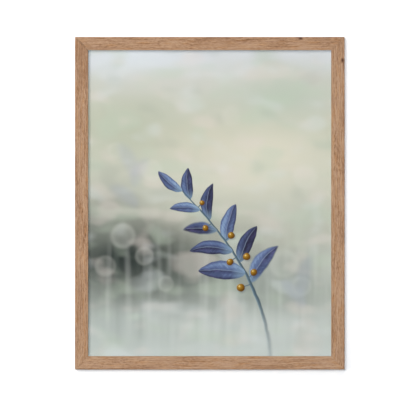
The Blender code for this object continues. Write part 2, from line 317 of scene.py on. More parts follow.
def floor_paint():
    """A pale floor that glows evenly, but more weakly where the frame's parts mirror it."""
    add = new_material("floor_paint")
    mirrored = add.node("LightPath").outputs["Is Glossy Ray"]
    return add.finish({
        "Base Color": srgb(232, 230, 226),
        "Roughness": 0.7,
        "Emission Color": srgb(236, 236, 234),
        "Emission Strength": add.between(FLOOR_GLOW, MIRRORED_FLOOR_GLOW, mirrored),
    })


def add_plane(name, corners, material):
    mesh = bpy.data.meshes.new(name)
    mesh.from_pydata(corners, [], [(0, 1, 2, 3)])
    mesh.materials.append(material)
    plane = add_object(name, mesh)
    return plane


def add_stage():
    """A white wall behind the frame, seen from the room's side only, and a pale floor below."""
    square = ((-1, -1), (1, -1), (1, 1), (-1, 1))
    upright = [(x * WALL_HALF, WALL_Y, CENTRE_Z + z * WALL_HALF) for x, z in square]
    wall = add_plane("wall", upright, wall_paint())
    wall.visible_shadow = False
    level = [(x * FLOOR_HALF, y * FLOOR_HALF, FLOOR_Z) for x, y in square]
    floor = add_plane("floor", level, floor_paint())
    floor.visible_diffuse = False


def add_lamp(name, direction, distance, size, watts, colour):
    """A square soft lamp that looks at the frame's centre from a direction."""
    centre = Vector((0.0, FRONT_Y, CENTRE_Z))
    data = bpy.data.lights.new(name, "AREA")
    data.size = size
    data.energy = watts
    data.color = colour
    lamp = add_object(name, data)
    lamp.location = centre + Vector(direction).normalized() * distance
    lamp.rotation_euler = (centre - lamp.location).to_track_quat("-Z", "Y").to_euler()
    lamp.visible_camera = False
    return lamp


def add_lamps():
    for name, left, up, size, watts, colour in FRONT_LAMPS:
        direction = Vector((-left, -1.0, up))
        lamp = add_lamp(name, direction, LAMP_DISTANCE * direction.length, size, watts, colour)
        lamp.visible_glossy = False
    for name, direction, watts in BACK_LAMPS:
        add_lamp(name, direction, BACK_LAMP_DISTANCE, BACK_LAMP_SIZE, watts, WHITE)


def add_room():
    add = Nodes(bpy.data.worlds.new("studio"))
    seen_straight = add.node("LightPath").outputs["Is Camera Ray"]
    strength = add.between(ROOM_FILL, ROOM_LOOK, seen_straight)
    add.feed(add.tree.nodes["Background"], {"Color": srgb(255, 255, 255), "Strength": strength})
    bpy.context.scene.world = add.owner


def set_colour_view():
    view = bpy.context.scene.view_settings
    view.view_transform = "Standard"
    view.look = "None"


# The rails' shape

RAIL_RADIUS = 1.0 * MM
BACK_RADIUS = 0.6 * MM
SMALL_RADIUS = 0.25 * MM
ARC_STEPS = 6
SECTION_STEP = 2.4 * MM
STATION_STEP = 3.0 * MM
SMOOTH_ANGLE = math.radians(40)
GLUE_LINE = 0.06 * MM

# Waves in the faces and wear of the front edges, which fade towards the mitres
MITRE_FADE = 5.0 * MM
WAVE_HEIGHT = 0.035 * MM
WAVE_LENGTH = 11.0 * MM
WAVE_WIDTH = 6.0 * MM
EDGE_WEAR = 0.10 * MM
EDGE_REACH = 1.5 * RAIL_RADIUS
WEAR_LENGTH = 45.0 * MM
WEAR_WIDTH = 30.0 * MM
LEAST_WEAR = 0.35

# How much further on each next rail starts, in its noise, and in metres in its grain
NOISE_OFFSET = 40.0
GRAIN_OFFSET = 2.0

# The V-nails' slots: their room, and how their mouths open at the rails' back
SLOT_ROOM = 0.12 * MM
SLOT_MOUTH = 0.5 * MM
NEAR_BACK = 1.0 * MM
WELD_DISTANCE = 0.001 * MM

# How much lighter each rail's wood is painted, painted light that makes up for the lamps' weaker light
# on the right and bottom rails, and how much lighter the level rails' wood gets with each millimetre
# from their outer edge
RAIL_PAINTED_LIGHT = {"top": 0.0, "right": 0.028, "bottom": 0.055, "left": 0.0}
TONE_SLOPE = 0.0045

# How dark the joint looks where a rail starts and where it ends, clockwise from the front
JOINT_GRIME = {"top": (0.50, 0.15), "right": (0.15, 0.08), "bottom": (0.08, 0.08), "left": (0.08, 0.50)}


def arc_points(before, corner, after, radius):
    """An arc of a given radius in place of a corner of the section."""
    to_before = (before - corner).normalized()
    to_after = (after - corner).normalized()
    half_angle = to_before.angle(to_after) / 2
    centre = corner + (to_before + to_after).normalized() * radius / math.sin(half_angle)
    start = corner + to_before * radius / math.tan(half_angle) - centre
    end = corner + to_after * radius / math.tan(half_angle) - centre
    turn = -start.angle_signed(end) / ARC_STEPS
    return [centre + Matrix.Rotation(turn * step, 2) @ start for step in range(ARC_STEPS + 1)]


def rounded_outline(corners):
    """The outline through corners of (x, y, radius), with an arc where a corner has a radius."""
    outline = []
    for index, (x, y, radius) in enumerate(corners):
        corner = Vector((x, y))
        if radius:
            before = Vector(corners[index - 1][:2])
            after = Vector(corners[(index + 1) % len(corners)][:2])
            outline.extend(arc_points(before, corner, after, radius))
        else:
            outline.append(corner)
    return outline


def rail_section():
    """The moulding's outline as (inset from the outer edge, y), with arcs and even stretches."""
    outline = rounded_outline([
        (0.0, FRONT_Y, RAIL_RADIUS),
        (FACE_WIDTH, FRONT_Y, RAIL_RADIUS),
        (FACE_WIDTH, LIP_BACK_Y, SMALL_RADIUS),
        (WALL_THICKNESS, LIP_BACK_Y, 0.0),
        (WALL_THICKNESS, BACK_Y, SMALL_RADIUS),
        (0.0, BACK_Y, BACK_RADIUS),
    ])
    section = []
    for start, end in zip(outline, outline[1:] + outline[:1]):
        parts = max(1, round((end - start).length / SECTION_STEP))
        section.extend(start.lerp(end, part / parts) for part in range(parts))
    return section


def section_normals(section):
    normals = []
    for index in range(len(section)):
        along = section[(index + 1) % len(section)] - section[index - 1]
        normals.append(Vector((along.y, -along.x)).normalized())
    return normals


def edge_share(point):
    """How far a point of the section belongs to a front edge, which hands soften."""
    outer = math.hypot(point.x, point.y - FRONT_Y)
    inner = math.hypot(point.x - FACE_WIDTH, point.y - FRONT_Y)
    return max(0.0, 1.0 - min(outer, inner) / EDGE_REACH)


def rail_noise(rail_index, x, point, length, width):
    """Noise with lumps of a length along the rail and a width across it."""
    along = x / length + rail_index * NOISE_OFFSET
    return noise.noise(Vector((along, point.x / width, point.y / width)))


def worn(point, normal, rail_index, x, fade):
    """A point of the section moved by waves and wear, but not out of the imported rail's box."""
    wave = rail_noise(rail_index, x, point, WAVE_LENGTH, WAVE_WIDTH)
    wear = max(0.0, rail_noise(rail_index, x, point, WEAR_LENGTH, WEAR_WIDTH))
    lift = WAVE_HEIGHT * wave
    lift -= EDGE_WEAR * edge_share(point) * (LEAST_WEAR + (1.0 - LEAST_WEAR) * wear)
    moved = point + normal * lift * fade
    moved.x = max(0.0, moved.x)
    moved.y = min(BACK_Y, max(FRONT_Y, moved.y))
    return moved


def rail_rings(shape, side):
    """A rail's vertices as rings along X, and on each what its wood needs to know of its place.

    The grain attribute holds (along, inset, depth) in metres, and mitre the distance to the joint.
    """
    rail_index = RAILS.index(side)
    upright = side in ("left", "right")
    half_length = (FRAME_SIZE.z if upright else FRAME_SIZE.x) / 2
    half_reach = (FRAME_SIZE.x if upright else FRAME_SIZE.z) / 2
    outer_end = half_length - GLUE_LINE / 2 * math.sqrt(2)
    slope = 0.0 if upright else TONE_SLOPE / MM
    start_grime, end_grime = JOINT_GRIME[side]
    layers = shape.verts.layers
    grain = layers.float_vector.new("grain")
    mitre = layers.float.new("mitre")
    grime = layers.float.new("joint_grime")
    tone = layers.float.new("tone")
    section = rail_section()
    normals = section_normals(section)
    stations = round(2 * half_length / STATION_STEP)
    rings = []
    for station in range(stations + 1):
        share = 2 * station / stations - 1
        ring = []
        for point, normal in zip(section, normals):
            x = share * (outer_end - point.x)
            fade = min(1.0, (outer_end - point.x - abs(x)) / MITRE_FADE)
            moved = worn(point, normal, rail_index, x, fade)
            x = share * (outer_end - moved.x)
            vert = shape.verts.new((x, moved.y, half_reach - moved.x))
            vert[grain] = (x + rail_index * GRAIN_OFFSET, moved.x, moved.y - FRONT_Y)
            vert[mitre] = (outer_end - moved.x - abs(x)) / math.sqrt(2)
            vert[grime] = end_grime if x > 0 else start_grime
            # The right and bottom rails painted lighter, painted light against the lamps' weaker light
            # there
            vert[tone] = RAIL_PAINTED_LIGHT[side] + slope * (moved.x - FACE_WIDTH / 2)
            ring.append(vert)
        rings.append(ring)
    return rings


def skin(shape, rings):
    """Faces between the rings and over the two ends."""
    for ring, following in zip(rings, rings[1:]):
        for a in range(len(ring)):
            b = (a + 1) % len(ring)
            shape.faces.new((ring[a], ring[b], following[b], following[a]))
    shape.faces.new(rings[0])
    shape.faces.new(rings[-1])
    bmesh.ops.recalc_face_normals(shape, faces=shape.faces)


def add_shape(name, shape):
    """A finished shape as an object of the scene."""
    mesh = bpy.data.meshes.new(name)
    shape.to_mesh(mesh)
    shape.free()
    return add_object(name, mesh)


def add_rail(side):
    """One rail with softly worn edges, turned from the top rail's place to its own."""
    shape = bmesh.new()
    skin(shape, rail_rings(shape, side))
    turn = Matrix.Rotation(RAILS.index(side) * math.pi / 2, 4, "Y")
    place = Matrix.Translation((0.0, 0.0, CENTRE_Z)) @ turn
    bmesh.ops.transform(shape, matrix=place, verts=shape.verts)
    rail = add_shape(f"oak_rail_{side}", shape)
    rail.data.shade_smooth()
    rail.data.set_sharp_from_angle(angle=SMOOTH_ANGLE)
    return rail


def add_slots():
    """The room round every V-nail, open at the rails' back, to cut out of the rails."""
    shape = bmesh.new()
    for node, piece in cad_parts.items():
        if node.startswith("v_nail"):
            shape.from_mesh(piece.data)
    bmesh.ops.remove_doubles(shape, verts=shape.verts, dist=WELD_DISTANCE)
    shape.normal_update()
    for vert in shape.verts:
        vert.co += vert.normal * SLOT_ROOM
        if vert.co.y > BACK_Y - NEAR_BACK:
            vert.co.y = BACK_Y + SLOT_MOUTH
    return add_shape("v_nail_slots", shape)


def cut_rails(rails, cutter):
    for rail in rails:
        boolean = rail.modifiers.new("slots", "BOOLEAN")
        boolean.operation = "DIFFERENCE"
        boolean.solver = "EXACT"
        boolean.object = cutter
    graph = bpy.context.evaluated_depsgraph_get()
    for rail in rails:
        cut = bpy.data.meshes.new_from_object(rail.evaluated_get(graph))
        rail.modifiers.clear()
        rail.data = cut
    bpy.data.objects.remove(cutter)


def add_rails():
    rails = [add_rail(side) for side in RAILS]
    cut_rails(rails, add_slots())
    oak = oak_material()
    for side, rail in zip(RAILS, rails):
        rail.data.materials.append(oak)
        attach(rail, "root")
        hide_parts(f"rail_{side}")


# The oak, in millimetres: along a rail from its middle, in from its outer edge, back from its face

OAK_MARKS = {
    # length, width and depth, detail, roughness
    "wander": ((70, 18, 18), 2.0, 0.5),
    "ripple": ((9, 5, 5), 1.0, 0.5),
    "pith": ((1500, math.inf, math.inf), 0.0, 0.5),
    "streaks": ((6.4, 1.25, 1.25), 4.0, 0.58),
    "bands": ((44, 4, 4), 2.0, 0.5),
    "fine": ((11, 0.19, 0.19), 3.0, 0.6),
    "pores": ((7, 0.27, 0.27), 1.0, 0.5),
    "rays": ((3, 0.5, 2.2), 0.0, 0.5),
    "calm": ((34, 40, 40), 1.0, 0.5),
    "slow": ((80, 16, 16), 1.0, 0.5),
    "warmth": ((24, 3, 3), 2.0, 0.5),
    "dust": ((4, 4, 4), 1.0, 0.5),
}

# The growth rings, round a pith outside the rail that wanders along it
RING_WIDTH = 3.1
PITH_INSET = 24.0
PITH_WANDER = 40.0
PITH_DEPTH = 30.0

# The wood's middle tone, and the colours that tones stand for
MIDDLE_TONE = 0.498
WOOD_TONES = (
    (0.0, (106, 73, 50)),
    (0.26, (147, 111, 83)),
    (0.5, (173, 139, 110)),
    (0.74, (187, 154, 125)),
    (1.0, (200, 168, 139)),
)

# Darker grain: rail, along, half length, strength
DARK_GRAIN = ("left", 228.0, 70.0, 0.36)
KNOTS = (
    # rail, along, inset, half length, half width, tail
    ("top", 144.2, 2.4, 3.5, 2.3, 0.0),
    ("right", -226.9, 3.0, 3.9, 2.5, 22.0),
)

# How much nearer to the rail's outer edge a knot's tail lies, and its half width
TAIL_SHIFT = 1.5
TAIL_HALF_WIDTH = 1.2


def grain_place(side, along):
    """Where a place along one rail lies along the grain of all of them."""
    return RAILS.index(side) * GRAIN_OFFSET / MM + along


class Oak:
    """Oiled oak, from the attributes on the rails' vertices."""

    def __init__(self, add):
        self.add = add
        self.place = add.scaled(add.attribute("grain", "Vector"), 1 / MM)
        self.along, self.inset, self.depth = add.split(self.place)
        # The fibres wander slowly off the rail's own line
        self.ripple = self.mark("ripple", self.place)
        drift = add.sum(
            add.swing(self.mark("wander", self.place), 9.5),
            add.swing(self.ripple, 1.3),
        )
        self.across = add.sum(self.inset, drift)
        back = add.sum(self.depth, add.product(drift, 0.6))
        self.fibre = add.join(self.along, self.across, back)
        self.streaks = self.mark("streaks", self.fibre)
        self.fine = self.mark("fine", self.fibre)
        self.early = self.early_wood()
        self.pores = self.open_pores()

    def mark(self, name, place):
        size, detail, roughness = OAK_MARKS[name]
        return self.add.noise(place, size, detail, roughness)

    def early_wood(self):
        """The soft inner part of each growth ring."""
        add = self.add
        wander = add.product(self.mark("pith", self.place), PITH_WANDER)
        pith_x = add.sum(self.across, add.sum(PITH_INSET, wander))
        radius = add.hypot(pith_x, add.sum(self.depth, PITH_DEPTH))
        phase = add.math("FRACT", add.product(radius, 1 / RING_WIDTH))
        return add.product(add.smooth(phase, 0.0, 0.12), add.smooth(phase, 0.55, 0.25))

    def open_pores(self):
        """Short dark pores, more of them in the early wood."""
        add = self.add
        level = add.between(0.685, 0.6, self.early)
        return add.smooth(add.minus(self.mark("pores", self.fibre), level), 0.0, 0.04)

    def tone(self):
        """Streaks, fine fibres, bands and rays, with calm and lively stretches."""
        add = self.add
        lively = add.sum(0.9, add.swing(self.mark("calm", self.place), 1.5))
        rays = add.smooth(self.mark("rays", self.fibre), 0.68, 0.78)
        return add.sum(
            MIDDLE_TONE,
            # The tone attribute holds each rail's painted light and the level rails' slope
            add.attribute("tone"),
            add.swing(self.streaks, lively, 1.24),
            add.swing(self.mark("bands", self.fibre), 0.72),
            add.swing(self.fine, lively, 0.86),
            add.swing(self.mark("slow", self.fibre), 0.34),
            add.product(self.early, -0.1),
            add.product(rays, 0.12),
        )

    def bare_wood(self):
        add = self.add
        warmth = self.mark("warmth", self.fibre)
        warm = add.smooth(warmth, 0.5, 0.72)
        cool = add.smooth(warmth, 0.48, 0.3)
        colour = add.ramp(self.tone(), WOOD_TONES, seen)
        colour = add.mix(warm, colour, srgb(255, 243, 226), "MULTIPLY")
        colour = add.mix(cool, colour, srgb(250, 249, 255), "MULTIPLY")
        return add.mix(add.product(self.pores, 0.62), colour, seen(96, 65, 44))

    def edges(self, colour):
        """The rounded outer edge a little darker, a painted shade, and the lip's edge a little lighter
        and warmer, a painted highlight.
        """
        add = self.add
        # Painted shade on the rounded outer edge
        outer = add.smooth(self.inset, 2.2, 0.5)
        # Painted highlight on the lip's inner edge
        lip_highlight = add.smooth(self.inset, 19.0, 20.4)
        colour = add.mix(outer, colour, srgb(249, 241, 231), "MULTIPLY")
        return add.mix(add.product(lip_highlight, 0.25), colour, seen(190, 152, 117))

    def dark_grain(self, colour):
        """Darker grain below the upper left joint, strongest in its dark streaks."""
        add = self.add
        side, along, half_length, strength = DARK_GRAIN
        reach = add.parts(self.along, grain_place(side, along), half_length)
        dark = add.product(
            add.smooth(add.math("ABSOLUTE", reach), 1.0, 0.4),
            add.between(0.75, 1.25, add.smooth(self.across, 2.0, 16.0)),
            add.smooth(self.streaks, 0.78, 0.45),
            strength,
        )
        return add.mix(dark, colour, seen(138, 102, 76))

    def tail(self, colour, start, inset, length):
        """A dark line in the fibre below a knot."""
        add = self.add
        share = add.parts(self.along, start, length)
        line = add.parts(self.inset, inset - TAIL_SHIFT, TAIL_HALF_WIDTH)
        mask = add.product(
            add.smooth(share, -0.2, 0.05),
            add.smooth(share, 1.0, 0.1),
            add.smooth(add.math("ABSOLUTE", line), 1.2, 0.3),
            add.smooth(self.streaks, 0.3, 0.5),
        )
        return add.mix(add.product(mask, 0.8), colour, seen(112, 80, 60))

    def knots(self, colour):
        add = self.add
        for side, along, inset, half_length, half_width, tail in KNOTS:
            start = grain_place(side, along)
            reach = add.hypot(
                add.parts(self.along, start, half_length), add.parts(self.inset, inset, half_width),
            )
            reach = add.sum(reach, add.swing(self.ripple, 0.5))
            rim = add.smooth(reach, 1.5, 0.5)
            heart = add.smooth(reach, 0.75, 0.3)
            colour = add.paint(colour, (rim, seen(118, 84, 64)), (heart, seen(84, 55, 43)))
            if tail:
                colour = self.tail(colour, start + half_length, inset, tail)
        return colour

    def joints(self, colour):
        """Glue and dust darken the very joint."""
        add = self.add
        line = add.product(
            add.smooth(add.attribute("mitre"), 2.6 * MM, 0.1 * MM),
            add.smooth(self.mark("dust", self.place), 0.2, 0.6),
            add.smooth(self.inset, 1.0, 9.0),
            add.attribute("joint_grime"),
        )
        return add.mix(line, colour, seen(112, 84, 64))

    def colour(self):
        wood = self.dark_grain(self.edges(self.bare_wood()))
        return self.joints(self.knots(wood))


def oak_material():
    add = new_material("oiled_oak")
    oak = Oak(add)
    height = add.sum(
        add.product(oak.streaks, 0.35), add.product(oak.fine, 0.25), add.product(oak.pores, -1.0),
    )
    return add.finish({
        "Base Color": oak.colour(),
        "Roughness": add.sum(0.46, add.swing(oak.streaks, 0.16), add.product(oak.pores, 0.25)),
        "Specular IOR Level": 0.4,
        "Normal": add.bump(height, 0.09 * MM, 0.9),
    })


# The print, in millimetres from its middle, across and up: an arching leafy sprig with round berries

GROUND_BANDS = (
    # share of the height, colour
    (0.0, (194, 203, 199)),
    (0.10, (188, 196, 190)),
    (0.24, (176, 183, 174)),
    (0.40, (184, 187, 174)),
    (0.58, (203, 205, 189)),
    (0.74, (193, 197, 180)),
    (0.88, (198, 201, 191)),
    (1.0, (209, 214, 218)),
)
GROUND_PATCHES = (
    # across, up, half width, half height, colour, strength
    (92, 74, 96, 58, (222, 218, 200), 0.70),
    (-122, 118, 84, 46, (180, 187, 167), 0.60),
    (112, 172, 74, 34, (178, 194, 176), 0.60),
    (-36, 196, 110, 20, (206, 207, 200), 0.5),
    (-130, 232, 110, 26, (215, 223, 229), 0.75),
    (-20, 96, 60, 34, (212, 206, 188), 0.45),
    (-150, 0, 70, 62, (164, 169, 158), 0.60),
    (156, -10, 60, 52, (188, 193, 181), 0.5),
    (-78, -110, 146, 66, (98, 106, 99), 0.86),
    (-138, -86, 118, 58, (36, 44, 43), 0.99),
    (-176, -40, 50, 40, (112, 120, 112), 0.55),
    (96, -136, 84, 50, (140, 149, 142), 0.62),
    (40, -196, 170, 26, (203, 210, 206), 0.6),
    (-156, -196, 90, 36, (168, 178, 174), 0.55),
)
GROUND_DRIFTS = (
    # noise offset, colour, where it starts and is full, strength
    (100.0, (188, 203, 184), 0.50, 0.68, 0.34),
    (200.0, (219, 211, 203), 0.52, 0.70, 0.36),
    (300.0, (216, 224, 224), 0.52, 0.72, 0.32),
    (400.0, (150, 160, 150), 0.55, 0.75, 0.22),
)
SOFT_DISCS = (
    # across, up, radius, strength
    (-138, -52, 19, 0.20),
    (-104, -84, 14, 0.15),
    (-166, -100, 16, 0.13),
    (-70, -128, 12, 0.12),
    (118, -96, 22, 0.16),
    (146, -132, 15, 0.13),
    (152, 42, 18, 0.14),
    (-92, 52, 16, 0.14),
    (-150, 84, 12, 0.12),
    (34, 138, 14, 0.10),
)
FAR_LEAVES = (
    # base across and up, direction in degrees, length, half width, bend
    (-118, 40, 118, 66, 13, -5),
    (-122, 24, 62, 58, 12, 5),
    (-112, -6, 146, 62, 12, -4),
    (148, -150, 78, 74, 13, 6),
    (152, -168, 132, 62, 12, -5),
)

# How far the drawing's outlines waver and over what length, and where its light comes from
WAVER = 3.0
WAVER_SIZE = 15.0
LIGHT_FROM = (-0.5, 0.8)

# The stem's lean has an even part and one that grows with the square of its share
STEM_BASE = Vector((96.0, -243.0))
STEM_RISE = 262.0
STEM_LEAN = (-16.0, -124.0)
STEM_HALF_WIDTHS = (3.6, 0.9)
STEM_TONES = ((0.0, (48, 62, 74)), (0.5, (76, 96, 108)), (1.0, (132, 156, 166)))

# From the lowest leaf to the highest: share of the stem, length, and turn from it in degrees
LEAF_COUNT = 9
LEAF_SHARES = (0.44, 0.95)
LEAF_LENGTHS = (76.0, 49.0)
LEAF_TURNS = (62.0, 42.0)
LEAF_BLUR = 0.8
SOFT_LEAVES = (0, 5)
SOFT_LEAF_BLUR = 2.6
TIP_LEAF = {"length": 50, "half_width": 9.4, "bend": 3.0, "blur": LEAF_BLUR, "light": 0.80}
LEAF_TONES = (
    (0.0, (40, 40, 62)),
    (0.20, (55, 59, 88)),
    (0.40, (72, 83, 117)),
    (0.60, (94, 112, 150)),
    (0.80, (127, 150, 184)),
    (1.0, (172, 195, 212)),
)

BERRIES = (
    # share of the stem, turn from it in degrees, stalk, radius
    (0.435, 84, 17, 6.6),
    (0.47, -70, 13, 5.8),
    (0.575, -92, 15, 6.2),
    (0.60, 96, 12, 5.4),
    (0.70, -86, 13, 5.4),
    (0.805, 88, 12, 4.8),
    (0.90, -84, 10, 4.2),
)
BERRY_TONES = (
    (0.0, (58, 35, 8)),
    (0.3, (86, 56, 9)),
    (0.6, (122, 84, 14)),
    (0.85, (164, 122, 38)),
    (1.0, (218, 190, 120)),
)


def between(ends, share):
    return ends[0] + (ends[1] - ends[0]) * share


def stem_point(share):
    """A point of the sprig's stem, from 0 at the print's lower edge to 1 at its tip."""
    lean = STEM_LEAN[0] * share + STEM_LEAN[1] * share * share
    return STEM_BASE + Vector((lean, STEM_RISE * share))


def stem_angle(share):
    slope = STEM_LEAN[0] + 2 * STEM_LEAN[1] * share
    return math.atan2(STEM_RISE, slope)


def leaf_rows():
    """The sprig's leaves by turns up the stem, made uneven by sines, and one at its tip."""
    rows = []
    for index in range(LEAF_COUNT):
        rank = index / (LEAF_COUNT - 1)
        share = between(LEAF_SHARES, rank)
        side = 1 if index % 2 else -1
        length = between(LEAF_LENGTHS, rank) + 4 * math.sin(index * 2.4)
        turn = between(LEAF_TURNS, rank) + 4 * math.sin(index * 3.1)
        rows.append({
            "base": stem_point(share),
            "angle": stem_angle(share) + side * math.radians(turn),
            "length": length,
            "half_width": length * (0.195 + 0.018 * math.sin(index * 1.7)),
            "bend": -side * (5.0 + 2.0 * math.cos(index * 2.1)),
            "blur": SOFT_LEAF_BLUR if index in SOFT_LEAVES else LEAF_BLUR,
            "light": 0.50 + 0.34 * math.sin(index * 1.9 + 0.6),
        })
    rows.append({"base": stem_point(1.0), "angle": stem_angle(1.0) + 0.08, **TIP_LEAF})
    return rows


class Print:
    """The printed picture, built up layer by layer from the place on the sheet."""

    def __init__(self, add):
        self.add = add
        x, _, z = add.split(add.object_mm())
        self.x = x
        self.z = add.minus(z, CENTRE_Z / MM)
        # The third value, 1, takes the offset of a dot product
        self.place = add.join(self.x, self.z, 1.0)
        # The drawing's outlines waver a little, so that no two leaves match
        sway = add.noise(add.join(x, 0.0, z), WAVER_SIZE, detail=1.0)
        sigh = add.noise(add.join(z, 50.0, x), WAVER_SIZE, detail=1.0)
        waver = add.join(add.swing(sway, WAVER), add.swing(sigh, WAVER), 0.0)
        self.drawn = add.vector("ADD", self.place, waver)

    def along(self, direction, start, scale=1.0):
        """How far the drawn place lies along a direction from a start."""
        unit = (direction[0] * scale, direction[1] * scale)
        offset = -unit[0] * start[0] - unit[1] * start[1]
        return self.add.vector("DOT_PRODUCT", self.drawn, (*unit, offset))

    def centred(self, place, centre, size):
        """Places round a centre, in parts of a size."""
        scaled = self.add.vector("MULTIPLY", place, (1 / size[0], 1 / size[1], 0.0))
        return self.add.vector("SUBTRACT", scaled, (centre[0] / size[0], centre[1] / size[1], 0.0))

    def leaf_shape(self, row):
        """A pointed oval leaf: the share of its length, the offset from its rib, and its half width.

        The offset is positive on the side that faces the light, up and to the left.
        """
        add = self.add
        direction = (math.cos(row["angle"]), math.sin(row["angle"]))
        facing = 1 if direction[0] * LIGHT_FROM[1] - direction[1] * LIGHT_FROM[0] > 0 else -1
        share = self.along(direction, row["base"], 1 / row["length"])
        rise = self.along((-direction[1], direction[0]), row["base"], facing)
        inside = add.math("MULTIPLY", share, 1.0, clamp=True)
        rest = add.minus(1.0, inside)
        side = add.minus(rise, add.product(inside, rest, 4 * row["bend"] * facing))
        swell = add.math("POWER", inside, 0.6)
        taper = add.math("POWER", rest, 0.74)
        return inside, side, add.product(swell, taper, 2.42 * row["half_width"])

    def lay_leaf(self, cover, form, row):
        """Draw a leaf over others: how much is covered, and each place's form on its leaf."""
        add = self.add
        inside, side, half = self.leaf_shape(row)
        mask = add.smooth(add.minus(half, add.math("ABSOLUTE", side)), 0.0, 1.6 * row["blur"])
        across = add.math("DIVIDE", side, add.math("MAXIMUM", half, 0.3))
        form = add.mix_vectors(mask, form, add.join(inside, across, row["light"]))
        return add.math("MAXIMUM", cover, mask), form

    def ground(self):
        """Bands up the sheet, soft patches over them, and drifts of colour over both."""
        add = self.add
        sheet_height = (PRINT_HIGH.z - PRINT_LOW.z) / MM
        sway = add.noise(add.join(self.x, 0.0, self.z), (150, 1, 60))
        height = add.sum(add.product(self.z, 1 / sheet_height), 0.5, add.swing(sway, 0.2))
        colour = add.ramp(height, GROUND_BANDS, ink)
        haze = add.noise(add.join(self.x, 40.0, self.z), 60, roughness=0.4)
        ragged = add.between(-0.5, -1.7, haze)
        for across, up, half_width, half_height, shade, strength in GROUND_PATCHES:
            reach = self.centred(self.place, (across, up), (half_width, half_height))
            square = add.vector("DOT_PRODUCT", reach, reach)
            fall = add.product(add.math("EXPONENT", add.product(square, ragged)), strength)
            colour = add.mix(fall, colour, ink(*shade))
        for offset, shade, low, high, strength in GROUND_DRIFTS:
            place = add.join(self.x, offset, self.z)
            spread = add.noise(place, (62, 1, 38), detail=1.5, roughness=0.4)
            drift = add.product(add.smooth(spread, low, high), strength)
            colour = add.mix(drift, colour, ink(*shade))
        return colour

    def stalks(self, colour):
        """Blurred stalks that rise out of the lower edge."""
        add = self.add
        grown = add.noise(add.join(self.x, 0.0, self.z), (17, 1, 170), detail=1.0)
        low_down = add.product(add.smooth(self.z, 10.0, -150.0), add.smooth(self.z, -268.0, -170.0))
        pale = add.product(add.smooth(grown, 0.48, 0.76), low_down, 0.2)
        dark = add.product(add.smooth(grown, 0.5, 0.26), low_down, 0.2)
        return add.paint(colour, (pale, ink(222, 228, 222)), (dark, ink(124, 136, 128)))

    def discs(self, colour):
        """Faint round lights, a little brighter at the brim."""
        add = self.add
        for across, up, radius, strength in SOFT_DISCS:
            reach = add.vector("LENGTH", self.centred(self.place, (across, up), (radius, radius)))
            disc = add.smooth(reach, 1.24, 0.84)
            brim = add.between(0.6, 1.0, add.smooth(reach, 0.45, 0.95))
            colour = add.mix(add.product(disc, brim, strength), colour, ink(228, 231, 222))
        return colour

    def far_leaves(self, colour):
        """Leaves of another sprig far behind, quite out of focus."""
        add = self.add
        for across, up, degrees, length, half_width, bend in FAR_LEAVES:
            _, side, half = self.leaf_shape({
                "base": (across, up), "angle": math.radians(degrees), "length": length,
                "half_width": half_width, "bend": bend,
            })
            mask = add.smooth(add.minus(half, add.math("ABSOLUTE", side)), -6.0, 9.0)
            ends = add.smooth(half, 0.0, 9.0)
            colour = add.mix(add.product(mask, ends, 0.24), colour, ink(158, 168, 188))
        return colour

    def leaf_tone(self, inside, across, light, soft):
        """How light a place on a leaf is: folded along the rib, cupped, veined and mottled."""
        add = self.add
        out = add.math("ABSOLUTE", across)
        fold = add.smooth(across, -0.16, 0.18)
        cup = add.product(add.smooth(out, 0.1, 0.55), add.smooth(out, 1.0, 0.6))
        veins = add.math("SINE", add.sum(add.product(inside, 62.0), add.product(out, -11.0)))
        slant = add.sum(add.product(inside, 42.0), add.product(out, -7.0))
        threads = add.noise(add.join(slant, add.product(light, 37.0), add.product(across, 1.1)))
        return add.sum(
            -0.03,
            add.product(light, 0.56),
            add.product(fold, 0.27),
            add.product(inside, -0.2),
            add.product(cup, 0.2),
            add.product(add.smooth(out, 0.6, 1.0), -0.18),
            add.product(add.smooth(inside, 0.78, 1.0), -0.12),
            add.product(veins, 0.022),
            add.swing(threads, 0.2),
            add.swing(soft, 0.42),
        )

    def leaf_colour(self, form):
        """Blue leaves: pale rib and base, violet tips, and a rim lit on one side, dark on the other."""
        add = self.add
        inside, across, light = add.split(form)
        out = add.math("ABSOLUTE", across)
        mottle = add.join(add.product(inside, 6.0), add.product(light, 51.0), add.product(across, 1.6))
        soft = add.noise(mottle, detail=3.0, roughness=0.6)
        violet = add.product(add.smooth(soft, 0.45, 0.68), add.smooth(inside, 0.25, 0.85), 0.42)
        base = add.product(add.smooth(inside, 0.34, 0.0), 0.62)
        rib_width = add.between(0.075, 0.105, inside)
        rib = add.product(add.smooth(add.math("DIVIDE", out, rib_width), 1.0, 0.15), 0.38)
        edge = add.smooth(out, 0.84, 0.97)
        lit_rim = add.product(edge, add.smooth(across, -0.2, 0.0), 0.45)
        dark_rim = add.product(edge, add.smooth(across, 0.2, 0.0), 0.5)
        return add.paint(
            add.ramp(self.leaf_tone(inside, across, light, soft), LEAF_TONES, ink),
            (violet, ink(92, 82, 126)),
            (base, ink(132, 160, 178)),
            (rib, ink(156, 176, 200)),
            (lit_rim, ink(128, 160, 188)),
            (dark_rim, ink(48, 38, 66)),
        )

